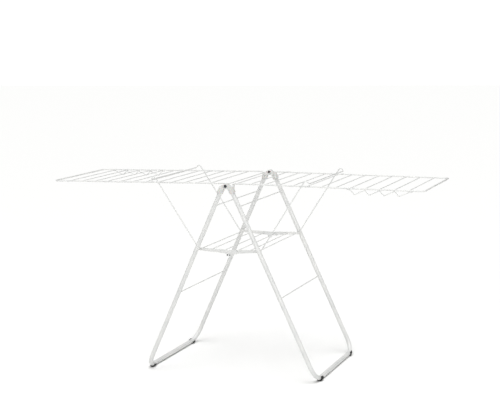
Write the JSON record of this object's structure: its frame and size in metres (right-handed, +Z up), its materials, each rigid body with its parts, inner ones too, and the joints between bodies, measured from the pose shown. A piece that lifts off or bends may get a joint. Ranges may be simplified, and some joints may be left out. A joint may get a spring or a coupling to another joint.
{
  "type": "clothes drying rack",
  "caption": "Folding winged clothes airer: two white tube leg frames hinged at the top, wire drying wings on wire stays, hanger teeth and a folding wire shelf.",
  "frame": {"origin": "on the floor, midway between the four feet, under the apex axis", "axes": "+X along the right wing, +Y from front to back along the rods, +Z up"},
  "size_m": [1.809, 0.6098, 0.9156],
  "materials": {
    "white_powder_coat": "satin white powder coat",
    "white_plastic": "fine moulded matt white",
    "black_rubber": "matt black moulded rubber",
    "dark_rivet": "blackened steel"
  },
  "bodies": {
    "left_leg_frame": {"back_apex_rivet": "dark_rivet", "front_apex_rivet": "dark_rivet", "left_back_foot_bend": "white_powder_coat", "left_back_hinge_cap": "white_plastic", "left_back_leg_tube": "white_powder_coat", "left_back_rubber_foot": "black_rubber", "left_foot_bar": "white_powder_coat", "left_front_foot_bend": "white_powder_coat", "left_front_hinge_cap": "white_plastic", "left_front_leg_tube": "white_powder_coat", "left_front_rubber_foot": "black_rubber", "left_lower_cross_rod": "white_powder_coat", "left_pivot_bushes": "white_plastic", "left_upper_cross_rod": "white_powder_coat"},
    "right_leg_frame": {"right_back_foot_bend": "white_powder_coat", "right_back_hinge_cap": "white_plastic", "right_back_leg_tube": "white_powder_coat", "right_back_rubber_foot": "black_rubber", "right_foot_bar": "white_powder_coat", "right_front_foot_bend": "white_powder_coat", "right_front_hinge_cap": "white_plastic", "right_front_leg_tube": "white_powder_coat", "right_front_rubber_foot": "black_rubber", "right_lower_cross_rod": "white_powder_coat", "right_pivot_bushes": "white_plastic", "right_upper_cross_rod": "white_powder_coat"},
    "left_wing": {"left_hanger_zigzag": "white_powder_coat", "left_wing_back_rail": "white_powder_coat", "left_wing_corners": "white_powder_coat", "left_wing_front_rail": "white_powder_coat", "left_wing_inner_end": "white_powder_coat", "left_wing_outer_end": "white_powder_coat", "left_wing_pivot_arms": "white_powder_coat", "left_wing_rest_pegs": "white_powder_coat", "left_wing_rods": "white_powder_coat"},
    "right_wing": {"right_hanger_zigzag": "white_powder_coat", "right_wing_back_rail": "white_powder_coat", "right_wing_corners": "white_powder_coat", "right_wing_front_rail": "white_powder_coat", "right_wing_inner_end": "white_powder_coat", "right_wing_outer_end": "white_powder_coat", "right_wing_pivot_arms": "white_powder_coat", "right_wing_rest_pegs": "white_powder_coat", "right_wing_rods": "white_powder_coat"},
    "left_stay": {"left_stay_back_arm": "white_powder_coat", "left_stay_crossbar": "white_powder_coat", "left_stay_front_arm": "white_powder_coat"},
    "right_stay": {"right_stay_back_arm": "white_powder_coat", "right_stay_crossbar": "white_powder_coat", "right_stay_front_arm": "white_powder_coat"},
    "shelf_left_half": {"shelf_back_hinge_plate": "white_powder_coat", "shelf_back_hinge_studs": "dark_rivet", "shelf_front_hinge_plate": "white_powder_coat", "shelf_front_hinge_studs": "dark_rivet", "shelf_left_back_strip": "white_powder_coat", "shelf_left_front_strip": "white_powder_coat", "shelf_left_rods": "white_powder_coat"},
    "shelf_right_half": {"shelf_right_back_strip": "white_powder_coat", "shelf_right_front_strip": "white_powder_coat", "shelf_right_rods": "white_powder_coat"}
  },
  "joints": [
    {"name": "leg_fold", "type": "hinge", "parent": "left_leg_frame", "child": "right_leg_frame", "pos_m": [0, 0, 0.88465], "axis": [0, 1, 0], "range_deg": [0, 46]},
    {"name": "left_wing_fold", "type": "hinge", "parent": "left_leg_frame", "child": "left_wing", "pos_m": [-0.02282, 0, 0.87093], "axis": [0, -1, 0], "range_deg": [0, 62]},
    {"name": "right_wing_fold", "type": "hinge", "parent": "right_leg_frame", "child": "right_wing", "pos_m": [0.02282, 0, 0.87093], "axis": [0, 1, 0], "range_deg": [0, 62]},
    {"name": "left_stay_swing", "type": "hinge", "parent": "left_leg_frame", "child": "left_stay", "pos_m": [-0.15278, 0, 0.58839], "axis": [0, -1, 0], "range_deg": [0, 106]},
    {"name": "right_stay_swing", "type": "hinge", "parent": "right_leg_frame", "child": "right_stay", "pos_m": [0.15278, 0, 0.58839], "axis": [0, 1, 0], "range_deg": [0, 106]},
    {"name": "shelf_left_fold", "type": "hinge", "parent": "left_leg_frame", "child": "shelf_left_half", "pos_m": [-0.15278, 0, 0.58839], "axis": [0, -1, 0], "range_deg": [0, 71.5]},
    {"name": "shelf_right_fold", "type": "hinge", "parent": "right_leg_frame", "child": "shelf_right_half", "pos_m": [0.15278, 0, 0.58839], "axis": [0, 1, 0], "range_deg": [0, 71.5]}
  ],
  "couplings": [
    {"joint": "left_stay_swing", "follows": "left_wing_fold", "ratio": 1.7},
    {"joint": "right_stay_swing", "follows": "right_wing_fold", "ratio": 1.7},
    {"joint": "shelf_left_fold", "follows": "leg_fold", "ratio": 1.55},
    {"joint": "shelf_right_fold", "follows": "leg_fold", "ratio": 1.55}
  ]
}
